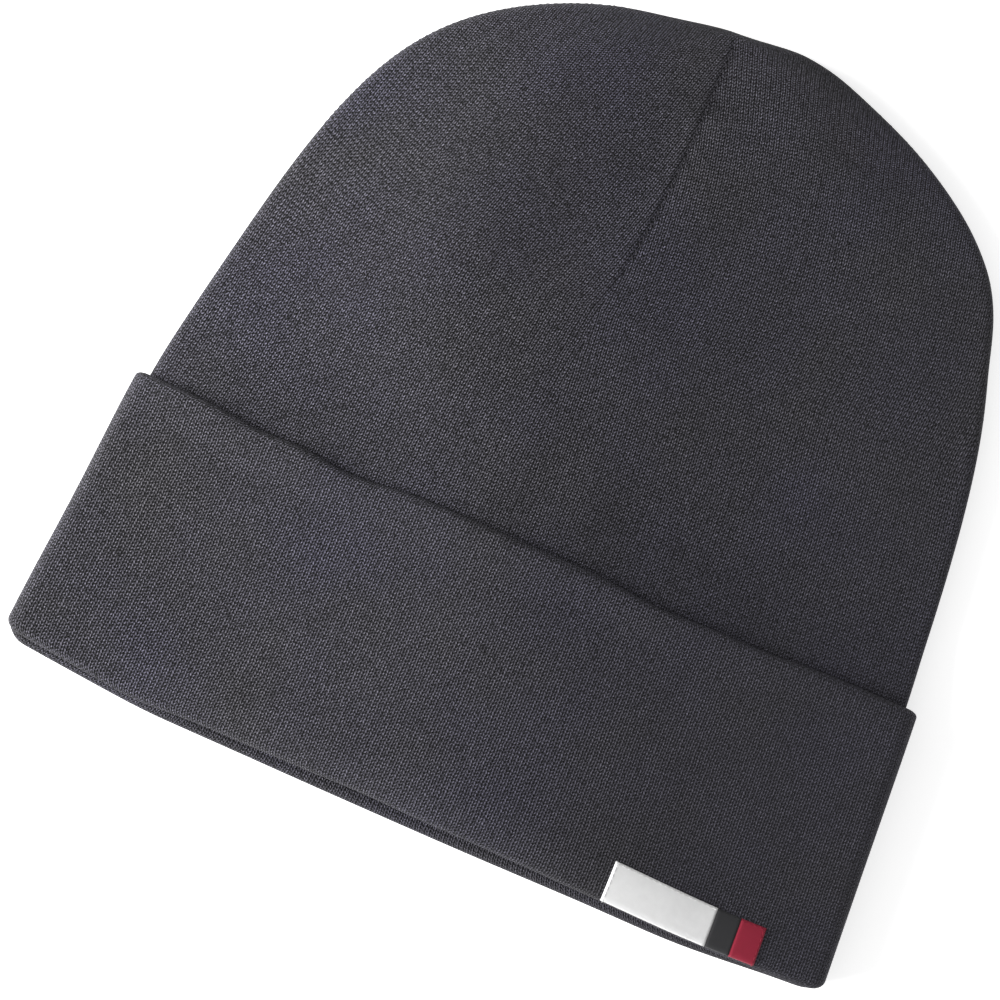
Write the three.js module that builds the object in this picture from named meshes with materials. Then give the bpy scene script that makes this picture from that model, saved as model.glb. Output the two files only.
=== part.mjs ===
// A cuffed knit cap that lies on its back, as it is laid out flat on a table.
// X runs across the cap, Y from its rim to its closed top, and Z up, out of its front.
// The origin is on the table, under the middle of the cap.

import * as THREE from "three";

// Driving dimensions, in millimetres.
// A level is a height above the lowest point of the rim, measured along the cap.
const wall = 2.4; // two plies of jersey knit, one on the other
const clearance = 0.3; // between two layers of cloth that lie on each other
const middleLevel = 110.5; // half of the cap's whole length

// The outline, seen from above: sides that taper straight, closed by a round top.
const rimHalfWidth = 112.2;
const sideTaper = 0.0877; // how much narrower each side gets for each millimetre of level
const topLevel = 219.9;
const topRoundness = 28.2; // length of cap over which the sides turn into the top
const topPower = 0.586;
const crossingX = -5.6; // where the four darts cross, at the top

// The right half of the top stands a little higher than the left half, beside the front dart, and
// the outline of the top rises and dips a little.
const rightLift = 2.4;
const rightLiftWidth = 19;
const topWaves = [
  { x: -21, rise: -1.2, width: 13 },
  { x: 20, rise: 0.9, width: 11 },
  { x: 76, rise: 1.5, width: 13 },
];
const topLiftLevels = [166, 188];

// The darts that close the top are shallow valleys. Each is cut at one level and ends at the crossing.
const dartLevel = 141;
const dartFullLevel = 166;
const dartFootX = -10;
const dartBow = 1.8; // how far its middle bows to the right
const dartDepth = 1.1;
const dartHalfWidth = 3;

// Thickness of the lying cap: a round fold along each side, and a front that bulges between them
// like a low roof. Its rounded ridge stands right of the middle at the rim and left of it at the top.
const foldHeight = 4.6; // from the middle of a side fold up to the front, and down to the back
const frontFoldWidth = 4.6;
const backFoldWidth = 7;
const bulges = { atRim: 14.2, atCrown: 17 };
const bulgeLevels = [30, 140];
const bulgeClosing = 45; // length of cap over which the bulge runs out at the top
const ridges = { atRim: 0.32, atCrown: -0.46 }; // as a share of the way from the middle to a side
const ridgeLevels = [-20, 160];
const ridgeRounding = 32;
const ridgeBlend = 0.35; // share over which one flank of the roof turns into the other

// The rim slants a little across the cap. The front's rim lies further in than the back's.
const slant = 0.012;
const rims = {
  front: { level: 3.95, cornerRise: 2.05 },
  back: { level: 0.9, cornerRise: 5.1 },
};
const cornerPower = 12; // the higher, the tighter the rim's corners

// The cuff.
const cuffTopLevel = 79.6;
const hemStandOff = 1.1; // the hem stands this far off the crown at the front and the sides
const innerLegLength = 3.5;
const sagLevels = [81.8, 98]; // past the cuff, the crown's back comes down to the table
const rimRadius = wall + clearance / 2; // outside radius of the fold at the rim

// The woven strip on the cuff, in three fields side by side.
const labelThickness = 0.6;
const labelBelowLeg = 2.2; // it reaches this far round the rim's fold
const labelAboveFold = 8.1;
const labelFields = [
  { name: "label_white", from: 53.0, to: 82.2, color: 0xe4e4e3, roughness: 0.75 },
  { name: "label_grey", from: 82.5, to: 89.2, color: 0x3e3e41, roughness: 0.8 },
  { name: "label_red", from: 89.5, to: 96.1, color: 0x9c1b33, roughness: 0.75 },
];

const smooth = (from, to, value) => THREE.MathUtils.smoothstep(value, from, to);
const mix = THREE.MathUtils.lerp;

// How near a level is to the top, from 0 far below it to 1 at the top.
const closingAt = (level) => Math.exp((Math.min(level, topLevel) - topLevel) / topRoundness);

const straightHalfWidth = (level) => rimHalfWidth - sideTaper * level;

const halfWidth = (level) => straightHalfWidth(level) * Math.pow(1 - closingAt(level), topPower);

// The middle of the outline moves over to the crossing, close to the top.
const centreX = (level) => crossingX * Math.pow(closingAt(level), 8);

function dartX(level) {
  const along = THREE.MathUtils.clamp((level - dartLevel) / (topLevel - dartLevel), 0, 1);
  return mix(dartFootX, crossingX, along) + dartBow * Math.sin(along * Math.PI);
}

// Shape of a quarter-round fold: 0 at the fold's edge, 1 from its full width inwards.
const quarterRound = (share) => Math.sqrt(1 - Math.pow(1 - THREE.MathUtils.clamp(share, 0, 1), 2));

// Distance in from the outline, near enough within the width of a fold.
function distanceInside(x, level) {
  const width = straightHalfWidth(level);
  const share = Math.abs(x - centreX(level)) / width;
  const inside = 1 - Math.pow(share, 1 / topPower) - closingAt(level);
  const slopeX = Math.pow(share, 1 / topPower - 1) / topPower / width;
  const slopeLevel = closingAt(level) / topRoundness;
  return inside / Math.hypot(slopeX, slopeLevel);
}

// How far the top stands above its even outline, at a place across it.
function topLift(x, middle) {
  const wave = (sum, one) => sum + one.rise * Math.exp(-(((x - one.x) / one.width) ** 2));
  return topWaves.reduce(wave, rightLift * smooth(0, rightLiftWidth, x - middle));
}

// How far the front bulges, at a share of the way from the middle to a side.
function bulgeAt(offCentre, half, level) {
  const ridge = mix(ridges.atRim, ridges.atCrown, smooth(ridgeLevels[0], ridgeLevels[1], level));
  const side = mix(1 + ridge, 1 - ridge, smooth(-ridgeBlend, ridgeBlend, offCentre - ridge));
  const away = (offCentre - ridge) / side;
  const rounding = ridgeRounding / (side * Math.max(half, 1));
  const flank = (Math.hypot(away, rounding) - rounding) / (Math.hypot(1, rounding) - rounding);
  const bulge = mix(bulges.atRim, bulges.atCrown, smooth(bulgeLevels[0], bulgeLevels[1], level));
  return bulge * (1 - Math.exp((level - topLevel) / bulgeClosing)) * (1 - flank);
}

// The outer skin of the cap's tube. A turn of 0 is the right side fold, 1 the middle of the front,
// 2 the left side fold and 3 the middle of the back.
function tubePoint(turn, level) {
  const half = halfWidth(level);
  const centre = centreX(level);
  const middle = dartX(level);
  const across = Math.cos((turn * Math.PI) / 2);
  const x = across > 0 ? mix(middle, centre + half, across) : mix(middle, centre - half, -across);
  const inFront = Math.sin((turn * Math.PI) / 2) >= 0;
  const inside = distanceInside(x, level);
  const offCentre = half > 0 ? (x - centre) / half : 0;
  const resting = (wall + clearance) * (1 - smooth(sagLevels[0], sagLevels[1], level));
  const lift = topLift(x, middle) * smooth(topLiftLevels[0], topLiftLevels[1], level);
  const z = inFront
    ? foldHeight * quarterRound(inside / frontFoldWidth) + bulgeAt(offCentre, half, level)
    : -foldHeight * quarterRound(inside / backFoldWidth);
  return new THREE.Vector3(x, level + lift - middleLevel, resting + foldHeight + z);
}

// A point beside the tube's skin: out along its normal, and up along the cloth from the given level.
function clothPoint(turn, level, out, up = 0) {
  const step = 1e-3;
  const onSkin = tubePoint(turn, level);
  const upwards = tubePoint(turn, level + step).sub(tubePoint(turn, level - step)).normalize();
  const around = tubePoint(turn + step, level).sub(tubePoint(turn - step, level)).normalize();
  const outwards = new THREE.Vector3().crossVectors(upwards, around).normalize();
  return onSkin.addScaledVector(outwards, out).addScaledVector(upwards, up);
}

// Columns round the cap: close together at the side folds, and one more on each side of every dart.
function turnsAround(columnsPerQuarter, besideDart) {
  const quarter = [0, besideDart];
  for (let column = 1; column < columnsPerQuarter; column++) {
    quarter.push(column / columnsPerQuarter);
  }
  const turns = [];
  for (const fold of [0, 2]) {
    quarter.slice(1).reverse().forEach((share) => turns.push(fold + 1 - share));
    quarter.forEach((share) => turns.push(fold + 1 + share));
    turns.push(fold + 2);
  }
  return turns;
}

const turns = turnsAround(11, 0.022);

// Level of the rim's fold line, one radius above the rim itself.
function foldLineLevel(turn) {
  const across = Math.cos((turn * Math.PI) / 2);
  const rim = Math.sin((turn * Math.PI) / 2) >= 0 ? rims.front : rims.back;
  const corner = rim.cornerRise * Math.pow(Math.abs(across), cornerPower);
  return rim.level + corner + slant * across * rimHalfWidth + rimRadius;
}

const hemLevel = (turn) =>
  cuffTopLevel - wall / 2 + slant * Math.cos((turn * Math.PI) / 2) * rimHalfWidth;

// How far the cuff's outer leg stands off the tube, a share of the way from the rim to the hem.
// Under the cap its own weight keeps it flat.
function standOff(turn, share) {
  const underneath = Math.max(0, -Math.sin((turn * Math.PI) / 2));
  return hemStandOff * smooth(0, 1, share) * (1 - smooth(0, 0.3, underneath));
}

// Joins rings of points into one skin: closed on itself, or closed by a point at each end.
function ringSolid(rings, tips) {
  const around = rings[0].length;
  const points = rings.flat();
  const faces = [];
  const joins = tips ? rings.length - 1 : rings.length;
  for (let ring = 0; ring < joins; ring++) {
    for (let column = 0; column < around; column++) {
      const next = (column + 1) % around;
      const here = ring * around;
      const below = ((ring + 1) % rings.length) * around;
      faces.push(here + column, here + next, below + column);
      faces.push(here + next, below + next, below + column);
    }
  }
  if (tips) {
    const last = (rings.length - 1) * around;
    const firstTip = points.length;
    points.push(...tips);
    for (let column = 0; column < around; column++) {
      const next = (column + 1) % around;
      faces.push(firstTip, next, column);
      faces.push(firstTip + 1, last + column, last + next);
    }
  }
  return new THREE.BufferGeometry().setFromPoints(points).setIndex(faces);
}

// A thin closed sheet from a function that gives its points by share along, share up and side.
function sheetSolid(pointAt, steps, rows) {
  const points = [];
  for (const side of [0, 1]) {
    for (let row = 0; row <= rows; row++) {
      for (let step = 0; step <= steps; step++) {
        points.push(pointAt(step / steps, row / rows, side));
      }
    }
  }
  const index = (step, row, side) => (side * (rows + 1) + row) * (steps + 1) + step;
  const faces = [];
  const quad = (a, b, c, d) => faces.push(a, b, c, a, c, d);
  for (let row = 0; row < rows; row++) {
    for (let step = 0; step < steps; step++) {
      const corners = [[step, row], [step + 1, row], [step + 1, row + 1], [step, row + 1]];
      quad(...corners.map(([s, r]) => index(s, r, 1)));
      quad(...corners.map(([s, r]) => index(s, r, 0)).reverse());
    }
  }
  for (let step = 0; step < steps; step++) {
    quad(index(step, 0, 0), index(step + 1, 0, 0), index(step + 1, 0, 1), index(step, 0, 1));
    quad(index(step + 1, rows, 0), index(step, rows, 0), index(step, rows, 1), index(step + 1, rows, 1));
  }
  for (let row = 0; row < rows; row++) {
    quad(index(0, row + 1, 0), index(0, row, 0), index(0, row, 1), index(0, row + 1, 1));
    quad(index(steps, row, 0), index(steps, row + 1, 0), index(steps, row + 1, 1), index(steps, row, 1));
  }
  return new THREE.BufferGeometry().setFromPoints(points).setIndex(faces);
}

// The crown: the tube from just above the rim, closed at the top. Its rows start parallel to the
// rim and end level, and crowd together towards the top.
function crownGeometry() {
  const rowsUnderCuff = 6;
  const rowsOverSag = 4;
  const rowsAbove = 14;
  const tipStep = 0.12;
  const lastRowLevel = topLevel - tipStep;
  const startAt = (turn) => foldLineLevel(turn) + innerLegLength + clearance;
  const rows = [];
  for (let row = 0; row < rowsUnderCuff; row++) {
    rows.push((turn) => mix(startAt(turn), sagLevels[0], row / rowsUnderCuff));
  }
  for (let row = 0; row < rowsOverSag; row++) {
    rows.push(() => mix(sagLevels[0], sagLevels[1], row / rowsOverSag));
  }
  for (let row = 0; row <= rowsAbove; row++) {
    const left = 1 - row / rowsAbove;
    rows.push(() => mix(lastRowLevel, sagLevels[1], left ** 2));
  }
  const valley = (turn, level) => {
    const toDart = Math.abs(Math.cos((turn * Math.PI) / 2)) * halfWidth(level);
    const cut = Math.exp(-((toDart / dartHalfWidth) ** 2));
    const alongDart = smooth(dartLevel, dartFullLevel, level) * (1 - smooth(topLevel - 3, topLevel, level));
    return dartDepth * cut * alongDart;
  };
  const ring = (row, depth) =>
    turns.map((turn) => clothPoint(turn, row(turn), -depth - valley(turn, row(turn))));
  const outer = rows.map((row) => ring(row, 0)).reverse();
  const inner = rows.map((row) => ring(row, wall));
  const tip = tubePoint(1, topLevel);
  const innerTip = tip.clone().add(new THREE.Vector3(0, -wall, 0));
  return ringSolid([...outer, ...inner], [tip, innerTip]);
}

// The cuff: up the outer leg, over the hem, down inside, round the rim's fold and up the short
// inner leg, whose end faces the crown's lower edge.
function cuffGeometry() {
  const legRows = 7;
  const foldSteps = 7;
  const hemSteps = 4;
  const onLeg = (share, out) => (turn) =>
    clothPoint(turn, mix(foldLineLevel(turn), hemLevel(turn), share), out + standOff(turn, share));
  const onInnerLeg = (length, out) => (turn) => clothPoint(turn, foldLineLevel(turn) + length, out);
  const profile = [];
  for (let row = 0; row < legRows; row++) {
    profile.push(onLeg(1 - row / legRows, clearance + wall));
  }
  for (let step = 0; step <= foldSteps; step++) {
    const angle = (-Math.PI * step) / foldSteps;
    const out = clearance / 2 + rimRadius * Math.cos(angle);
    profile.push((turn) => clothPoint(turn, foldLineLevel(turn), out, rimRadius * Math.sin(angle)));
  }
  profile.push(onInnerLeg(innerLegLength, -wall));
  profile.push(onInnerLeg(innerLegLength, 0));
  profile.push(onInnerLeg(0, 0));
  for (let row = 0; row <= legRows; row++) {
    profile.push(onLeg(row / legRows, clearance));
  }
  for (let step = 1; step < hemSteps; step++) {
    const angle = Math.PI * (1 - step / hemSteps);
    const out = clearance + wall / 2 + (wall / 2) * Math.cos(angle);
    const up = (wall / 2) * Math.sin(angle);
    profile.push((turn) => clothPoint(turn, hemLevel(turn), out + standOff(turn, 1), up));
  }
  return ringSolid(profile.map((place) => turns.map(place)));
}

// One field of the woven strip. It follows the cuff's front and the upper part of the rim's fold.
function labelGeometry(field) {
  const steps = Math.max(2, Math.round((field.to - field.from) / 5));
  const rows = 6;
  const pointAt = (shareAlong, shareUp, side) => {
    const x = mix(field.from, field.to, shareAlong);
    const above = mix(-labelBelowLeg, labelAboveFold, shareUp);
    const extra = clearance + side * labelThickness;
    const turnAt = (level) => {
      const across = (x - dartX(level)) / (centreX(level) + halfWidth(level) - dartX(level));
      return (Math.acos(across) * 2) / Math.PI;
    };
    const turnAtFold = turnAt(foldLineLevel(1));
    const foldLevel = foldLineLevel(turnAtFold);
    if (above >= 0) {
      const turn = turnAt(foldLevel + above);
      const share = above / (hemLevel(turn) - foldLevel);
      return clothPoint(turn, foldLevel + above, clearance + wall + standOff(turn, share) + extra);
    }
    const angle = above / rimRadius;
    const radius = rimRadius + extra;
    const out = clearance / 2 + radius * Math.cos(angle);
    return clothPoint(turnAtFold, foldLevel, out, radius * Math.sin(angle));
  };
  return sheetSolid(pointAt, steps, rows);
}

// Each piece has its own material.
function piece(name, geometry, color, roughness) {
  const material = new THREE.MeshStandardMaterial({ color, roughness, metalness: 0 });
  const mesh = new THREE.Mesh(geometry, material);
  mesh.name = name;
  return mesh;
}

const charcoal = 0x46454c;
const cap = new THREE.Group();
cap.add(piece("crown", crownGeometry(), charcoal, 0.95));
cap.add(piece("cuff", cuffGeometry(), charcoal, 0.95));
for (const field of labelFields) {
  cap.add(piece(field.name, labelGeometry(field), field.color, field.roughness));
}

export default cap;
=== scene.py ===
import math

import bpy
import numpy as np
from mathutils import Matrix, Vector


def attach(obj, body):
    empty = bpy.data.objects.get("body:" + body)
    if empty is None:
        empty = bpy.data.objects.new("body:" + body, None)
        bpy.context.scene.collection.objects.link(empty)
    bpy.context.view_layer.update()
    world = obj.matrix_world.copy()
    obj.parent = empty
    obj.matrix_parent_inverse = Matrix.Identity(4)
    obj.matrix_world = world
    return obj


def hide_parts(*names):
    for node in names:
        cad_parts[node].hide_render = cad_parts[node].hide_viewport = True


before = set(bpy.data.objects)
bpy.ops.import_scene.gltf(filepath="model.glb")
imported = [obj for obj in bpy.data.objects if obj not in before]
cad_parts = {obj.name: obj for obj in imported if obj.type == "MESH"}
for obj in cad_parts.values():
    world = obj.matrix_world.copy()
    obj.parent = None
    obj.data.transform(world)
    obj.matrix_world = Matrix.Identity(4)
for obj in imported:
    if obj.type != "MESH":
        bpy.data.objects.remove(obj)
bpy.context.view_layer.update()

# Crown. The cap is one tube of charcoal jersey knit, two plies thick, that lies on its back: flat
# underneath, with a round fold along each side. The crown is the tube from just above the rim to the top,
# which four darts close. Each dart is sewn from the inside and shows as a crease that the wales run into.

# The tube's shape, in millimetres. X runs across it, Y from its rim to its closed top. The cuff and the
# label are laid on the same shape.

mm = 0.001
wall = 2.4
clearance = 0.3  # between two layers that lie on each other
middle_level = 110.5  # half of the cap's length; a level is a height above the rim's lowest point
rim_half_width = 112.2
side_taper = 0.0877
top_level = 219.9
top_roundness = 28.2
top_power = 0.586
crossing_x = -5.6  # where the darts cross, at the top
crossing_power = 8  # the cap's middle bends to the crossing only near the top
right_lift = 2.4
right_lift_width = 19
top_lift_levels = (166, 188)
top_waves = [
    {"x": 5, "rise": 0.7, "width": 36},
    {"x": -21, "rise": -1.2, "width": 13},
    {"x": 20, "rise": 0.9, "width": 11},
    {"x": 76, "rise": 1.5, "width": 13},
]
side_waves = [
    {"side": -1, "level": 0, "out": -0.6, "width": 14},
    {"side": -1, "level": 82, "out": 1.55, "width": 30},
    {"side": -1, "level": 195, "out": 1.2, "width": 28},
    {"side": 1, "level": 0, "out": 0.8, "width": 45},
    {"side": 1, "level": 180, "out": 1.2, "width": 10},
]
side_wave_power = 3  # these fade out towards the middle
side_wave_top_power = 4  # and at the top
dart_level = 141
dart_full_level = 166
dart_foot_x = -9
dart_bow = 2.3
dart_bow_power = 0.8  # under 1, the bow is widest below the middle
fold_height = 4.6
front_fold_width = 3.2
front_fold_power = 3.2  # 2 is a round fold; the front is pressed flatter and turns over a sharper edge
back_fold_width = 7
bulge_at_rim = 15.2
bulge_at_crown = 17.6
bulge_levels = (30, 140)
bulge_closing = 45
ridge_at_rim = 0.27  # the front is a low roof; its ridge, as a share of the way from the middle to a side
ridge_at_crown = -0.40
ridge_levels = (-10, 170)
ridge_rounding = 32
ridge_blend = 0.35  # share over which one flank turns into the other
rim_puff = 3.8  # the cloth stands fuller at the rim, where it is folded
rim_puff_length = 22
rim_droop = 3.0  # and bends down over its last millimetres
rim_droop_levels = (2, 14)
rim_droop_power = 4  # it fades out at the sides
sag_levels = (81.8, 98)  # past the cuff, the back comes down to the table
relief_from_side = (2, 22)  # dents fade out towards the outline
slant = 0.012  # the rim and the hem lie a little higher on the right

# The cuff's hem crosses the front in a slightly wavy line, along which the front stands up a little.
cuff_top_level = 79.6
hem_roll = 1.6  # the cuff's edge comes down to the crown within this length
hem_waves = [
    {"x": -76, "rise": -1.5, "width": 13},
    {"x": -46, "rise": -2.4, "width": 15},
    {"x": -18, "rise": -0.6, "width": 18},
    {"x": 12, "rise": -0.6, "width": 18},
    {"x": 46, "rise": -2.0, "width": 15},
    {"x": 72, "rise": -1.4, "width": 14},
]
hem_wave_power = 8  # the waves fade out at the side folds
hem_lift_left = 2.3
hem_lift_right = 0.8
hem_lift_width = 6
hem_lift_above = hem_roll / 3  # from where the hem starts to come down
hem_lift_front = (0.1, 0.6)  # the lift starts past the side folds

# Soft dents and rises of the front: where, which way they run, in degrees from +X, and how far.
dents = [
    {"x": -26, "level": 152, "way": 68, "length": 34, "width": 10, "rise": -0.5},
    {"x": -10, "level": 180, "way": 80, "length": 14, "width": 7, "rise": -0.6},
    {"x": 11, "level": 150, "way": 85, "length": 16, "width": 6, "rise": -0.25},
    {"x": 30, "level": 196, "way": 150, "length": 22, "width": 9, "rise": 0.5},
    {"x": 8, "level": 96, "way": 80, "length": 13, "width": 9, "rise": 1.3},
    {"x": -12, "level": 98, "way": 70, "length": 14, "width": 12, "rise": 0.9},
    {"x": 40, "level": 120, "way": 120, "length": 45, "width": 15, "rise": -0.3},
    {"x": 72, "level": 25, "way": 122, "length": 20, "width": 11, "rise": -0.6},
    {"x": 28, "level": 61, "way": 92, "length": 16, "width": 5, "rise": -0.2},
    {"x": 50, "level": 62, "way": 88, "length": 16, "width": 5, "rise": -0.2},
    {"x": -64, "level": 25, "way": 84, "length": 28, "width": 25, "rise": -1.4},
    {"x": -40, "level": 45, "way": 160, "length": 40, "width": 14, "rise": 0.3},
    {"x": 8, "level": 209.5, "way": -6, "length": 14, "width": 3.0, "rise": 0.75},
    {"x": 2, "level": 200, "way": 0, "length": 10, "width": 4, "rise": -0.5},
    {"x": 0, "level": 192, "way": 15, "length": 7, "width": 2.6, "rise": 0.6},
    {"x": 7, "level": 186, "way": 10, "length": 7, "width": 3.5, "rise": -0.4},
]

# Long low waves that lying cloth keeps everywhere.
ripples = [
    {"wavelength": 61, "way": 25, "phase": 0.4, "rise": 0.16},
    {"wavelength": 43, "way": 112, "phase": 2.1, "rise": 0.12},
    {"wavelength": 34, "way": 68, "phase": 4.4, "rise": 0.08},
    {"wavelength": 27, "way": 151, "phase": 1.3, "rise": 0.05},
]


def smooth(start, end, value):
    share = np.clip((value - start) / (end - start), 0, 1)
    return share * share * (3 - 2 * share)


def mix(low, high, share):
    return low + (high - low) * share


def waves_at(x, waves):
    return sum(wave["rise"] * np.exp(-(((x - wave["x"]) / wave["width"]) ** 2)) for wave in waves)


def closing_at(level):
    """How near a level is to the top, from 0 far below it to 1 at the top."""
    return np.exp((np.minimum(level, top_level) - top_level) / top_roundness)


def straight_half_width(level):
    return rim_half_width - side_taper * level


def half_width(level):
    return straight_half_width(level) * (1 - closing_at(level)) ** top_power


def centre_x(level):
    return crossing_x * closing_at(level) ** crossing_power


def across_at(turn):
    """How far across the cap a turn is, from -1 at the left side fold to 1 at the right one."""
    return np.cos(turn * math.pi / 2)


def frontness(turn):
    """1 in the middle of the front, 0 at the side folds and -1 in the middle of the back."""
    return np.sin(turn * math.pi / 2)


def dart_x(level):
    along = np.clip((level - dart_level) / (top_level - dart_level), 0, 1)
    return mix(dart_foot_x, crossing_x, along) + dart_bow * np.sin(along**dart_bow_power * math.pi)


def quarter_round(share, power=2):
    return (1 - (1 - np.clip(share, 0, 1)) ** power) ** (1 / power)


def distance_inside(x, level):
    """Distance in from the outline, near enough within the width of a fold."""
    width = straight_half_width(level)
    share = np.abs(x - centre_x(level)) / width
    inside = 1 - share ** (1 / top_power) - closing_at(level)
    slope_x = share ** (1 / top_power - 1) / top_power / width
    slope_level = closing_at(level) / top_roundness
    return inside / np.hypot(slope_x, slope_level)


def relief(x, level):
    """Height of the front's dents and waves."""
    height = np.zeros(np.broadcast(x, level).shape)
    for dent in dents:
        way = math.radians(dent["way"])
        along = (x - dent["x"]) * math.cos(way) + (level - dent["level"]) * math.sin(way)
        across = (level - dent["level"]) * math.cos(way) - (x - dent["x"]) * math.sin(way)
        height += dent["rise"] * np.exp(-((along / dent["length"]) ** 2) - (across / dent["width"]) ** 2)
    for ripple in ripples:
        way = math.radians(ripple["way"])
        along = x * math.cos(way) + level * math.sin(way)
        height += ripple["rise"] * np.sin(2 * math.pi * along / ripple["wavelength"] + ripple["phase"])
    return height


def bulge_at(off_centre, half, level):
    """How far the front bulges, at a share of the way from the middle to a side."""
    ridge = mix(ridge_at_rim, ridge_at_crown, smooth(*ridge_levels, level))
    side = mix(1 + ridge, 1 - ridge, smooth(-ridge_blend, ridge_blend, off_centre - ridge))
    away = (off_centre - ridge) / side
    rounding = ridge_rounding / (side * np.maximum(half, 1))
    flank = (np.hypot(away, rounding) - rounding) / (np.hypot(1, rounding) - rounding)
    body = mix(bulge_at_rim, bulge_at_crown, smooth(*bulge_levels, level))
    body = body + rim_puff * np.exp(-((level / rim_puff_length) ** 2))
    droop = rim_droop * (1 - smooth(*rim_droop_levels, level)) * (1 - off_centre**rim_droop_power)
    return body * (1 - np.exp((level - top_level) / bulge_closing)) * (1 - flank) - droop


def hem_level(turn):
    """Level at which the cuff's outer face starts to come down to the crown."""
    across = across_at(turn)
    x = across * rim_half_width
    waves = np.where(frontness(turn) >= 0, waves_at(x, hem_waves), 0) * (1 - across**hem_wave_power)
    return cuff_top_level - hem_roll + slant * x + waves


def side_stray(off_centre, level):
    """How far a point moves sideways with the outline, which isn't quite even."""
    stray = 0
    for wave in side_waves:
        out = wave["side"] * wave["out"] * np.exp(-(((level - wave["level"]) / wave["width"]) ** 2))
        stray = stray + np.where(off_centre * wave["side"] > 0, out, 0)
    fading = np.abs(off_centre) ** side_wave_power * (1 - closing_at(level) ** side_wave_top_power)
    return stray * fading


def tube_point(turn, level):
    """The tube's outer skin. Turn 0 is the right side fold, 1 the front, 2 the left fold, 3 the back."""
    half = half_width(level)
    centre = centre_x(level)
    middle = dart_x(level)
    across = across_at(turn)
    side = centre + np.sign(across) * half
    x = mix(middle, side, np.abs(across))
    inside = distance_inside(x, level)
    off_centre = (x - centre) / np.maximum(half, 1e-6)
    resting = (wall + clearance) * (1 - smooth(*sag_levels, level))
    lift = right_lift * smooth(0, right_lift_width, x - middle) + waves_at(x, top_waves)
    lift = lift * smooth(*top_lift_levels, level)
    soft = relief(x, level) * smooth(*relief_from_side, inside)
    from_hem = (level - hem_level(turn) - hem_lift_above) / hem_lift_width
    hem_lift = mix(hem_lift_left, hem_lift_right, (1 + across) / 2)
    soft = soft + hem_lift * np.exp(-(from_hem**2)) * smooth(*hem_lift_front, frontness(turn))
    front = fold_height * quarter_round(inside / front_fold_width, front_fold_power)
    front = front + bulge_at(off_centre, half, level) + soft
    back = -fold_height * quarter_round(inside / back_fold_width)
    z = resting + fold_height + np.where(frontness(turn) >= 0, front, back)
    x = x + side_stray(off_centre, level)
    return np.stack(np.broadcast_arrays(x, level + lift - middle_level, z), -1)


def cloth_point(turn, level, out, up=0.0):
    """A point beside the tube's skin: out along its normal, and up along the cloth. Cloth that lies on
    the front is pressed into the same sharp edge as the front itself."""
    turn, level, out, up = np.broadcast_arrays(turn, level, out, up)
    step = 1e-3
    upwards = tube_point(turn, level + step) - tube_point(turn, level - step)
    around = tube_point(turn + step, level) - tube_point(turn - step, level)
    upwards /= np.maximum(np.linalg.norm(upwards, axis=-1, keepdims=True), 1e-12)
    outwards = np.cross(upwards, around)
    outwards /= np.maximum(np.linalg.norm(outwards, axis=-1, keepdims=True), 1e-12)
    pressed = (out > 0) & (outwards[..., 2] > 0)
    square = (np.abs(outwards) ** front_fold_power).sum(-1) ** (-1 / front_fold_power)
    out = out * np.where(pressed, square, 1)
    return tube_point(turn, level) + outwards * out[..., None] + upwards * up[..., None]


# The darts. The panel on a dart's left swells up to the seam and drops into it, and the one on its right
# starts a little lower and rises softly.
columns_per_quarter = 110
dart_crowding = 1.35  # over 1, columns are closer together beside the darts
crease_depth = 0.32
shallow_share = 0.7  # how much of the crease is left at the top
shallow_levels = (198, 212)
side_crease_share = 0.4  # at the side folds the seam runs along the fold's own edge
drop_width = 0.85
swell_height = 0.22
swell_reach = 5.5
low_panel_width = 2.6
pucker_pitch = 7.5
pucker_height = 0.3
pucker_reach = 6
pucker_start = 3  # beside the seam the cloth is held flat
pucker_shift = 1.3  # between one dart's puckers and the next one's
pucker_drift = 0.8
pucker_drift_length = 9
sewn_from = dart_level - 8
sewn_end = 5  # the seam fades into the top within this length
seam_ridge = 1.6  # the sewn edges stand up inside, along each dart
seam_ridge_width = 2.2
seam_ridge_from = (dart_level - 4, dart_full_level)
seam_ridge_end = (top_level - 20, top_level - 8)
inner_leg_length = 3.5  # the cuff's cloth goes this far up inside the rim, and the crown starts there
rim_radius = wall + clearance / 2
front_rim_level = 3.95
back_rim_level = -0.2
front_ramps = (90, 110)  # how far to the left and the right of the middle the rim starts to rise
back_ramps = (69, 76)
ramp_slope = 0.085
ramp_softness = 4
left_corner_level = 5.0
right_corner_level = 6.2
corner_power = 100
front_rim_waves = [
    {"x": -72, "rise": -1.45, "width": 15},
    {"x": -45, "rise": -0.35, "width": 16},
    {"x": -4, "rise": 0.4, "width": 12},
    {"x": 28, "rise": 0.35, "width": 22},
    {"x": 82, "rise": -0.75, "width": 22},
]
back_rim_waves = [
    {"x": -55, "rise": 0.2, "width": 30},
    {"x": 60, "rise": 0.55, "width": 28},
    {"x": 104, "rise": 0.55, "width": 16},
]

quarter = (np.arange(columns_per_quarter + 1) / columns_per_quarter) ** dart_crowding
to_dart = np.concatenate([quarter[::-1], quarter[1:], quarter[-2::-1], quarter[1:-1]])
turn_of_dart = np.concatenate([
    np.full(2 * columns_per_quarter + 1, 1.0), np.full(2 * columns_per_quarter - 1, 3.0)])
side_of_dart = np.concatenate([
    np.full(columns_per_quarter, -1.0), np.full(columns_per_quarter + 1, 1.0),
    np.full(columns_per_quarter - 1, -1.0), np.full(columns_per_quarter, 1.0)])
turns = turn_of_dart + side_of_dart * to_dart


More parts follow.
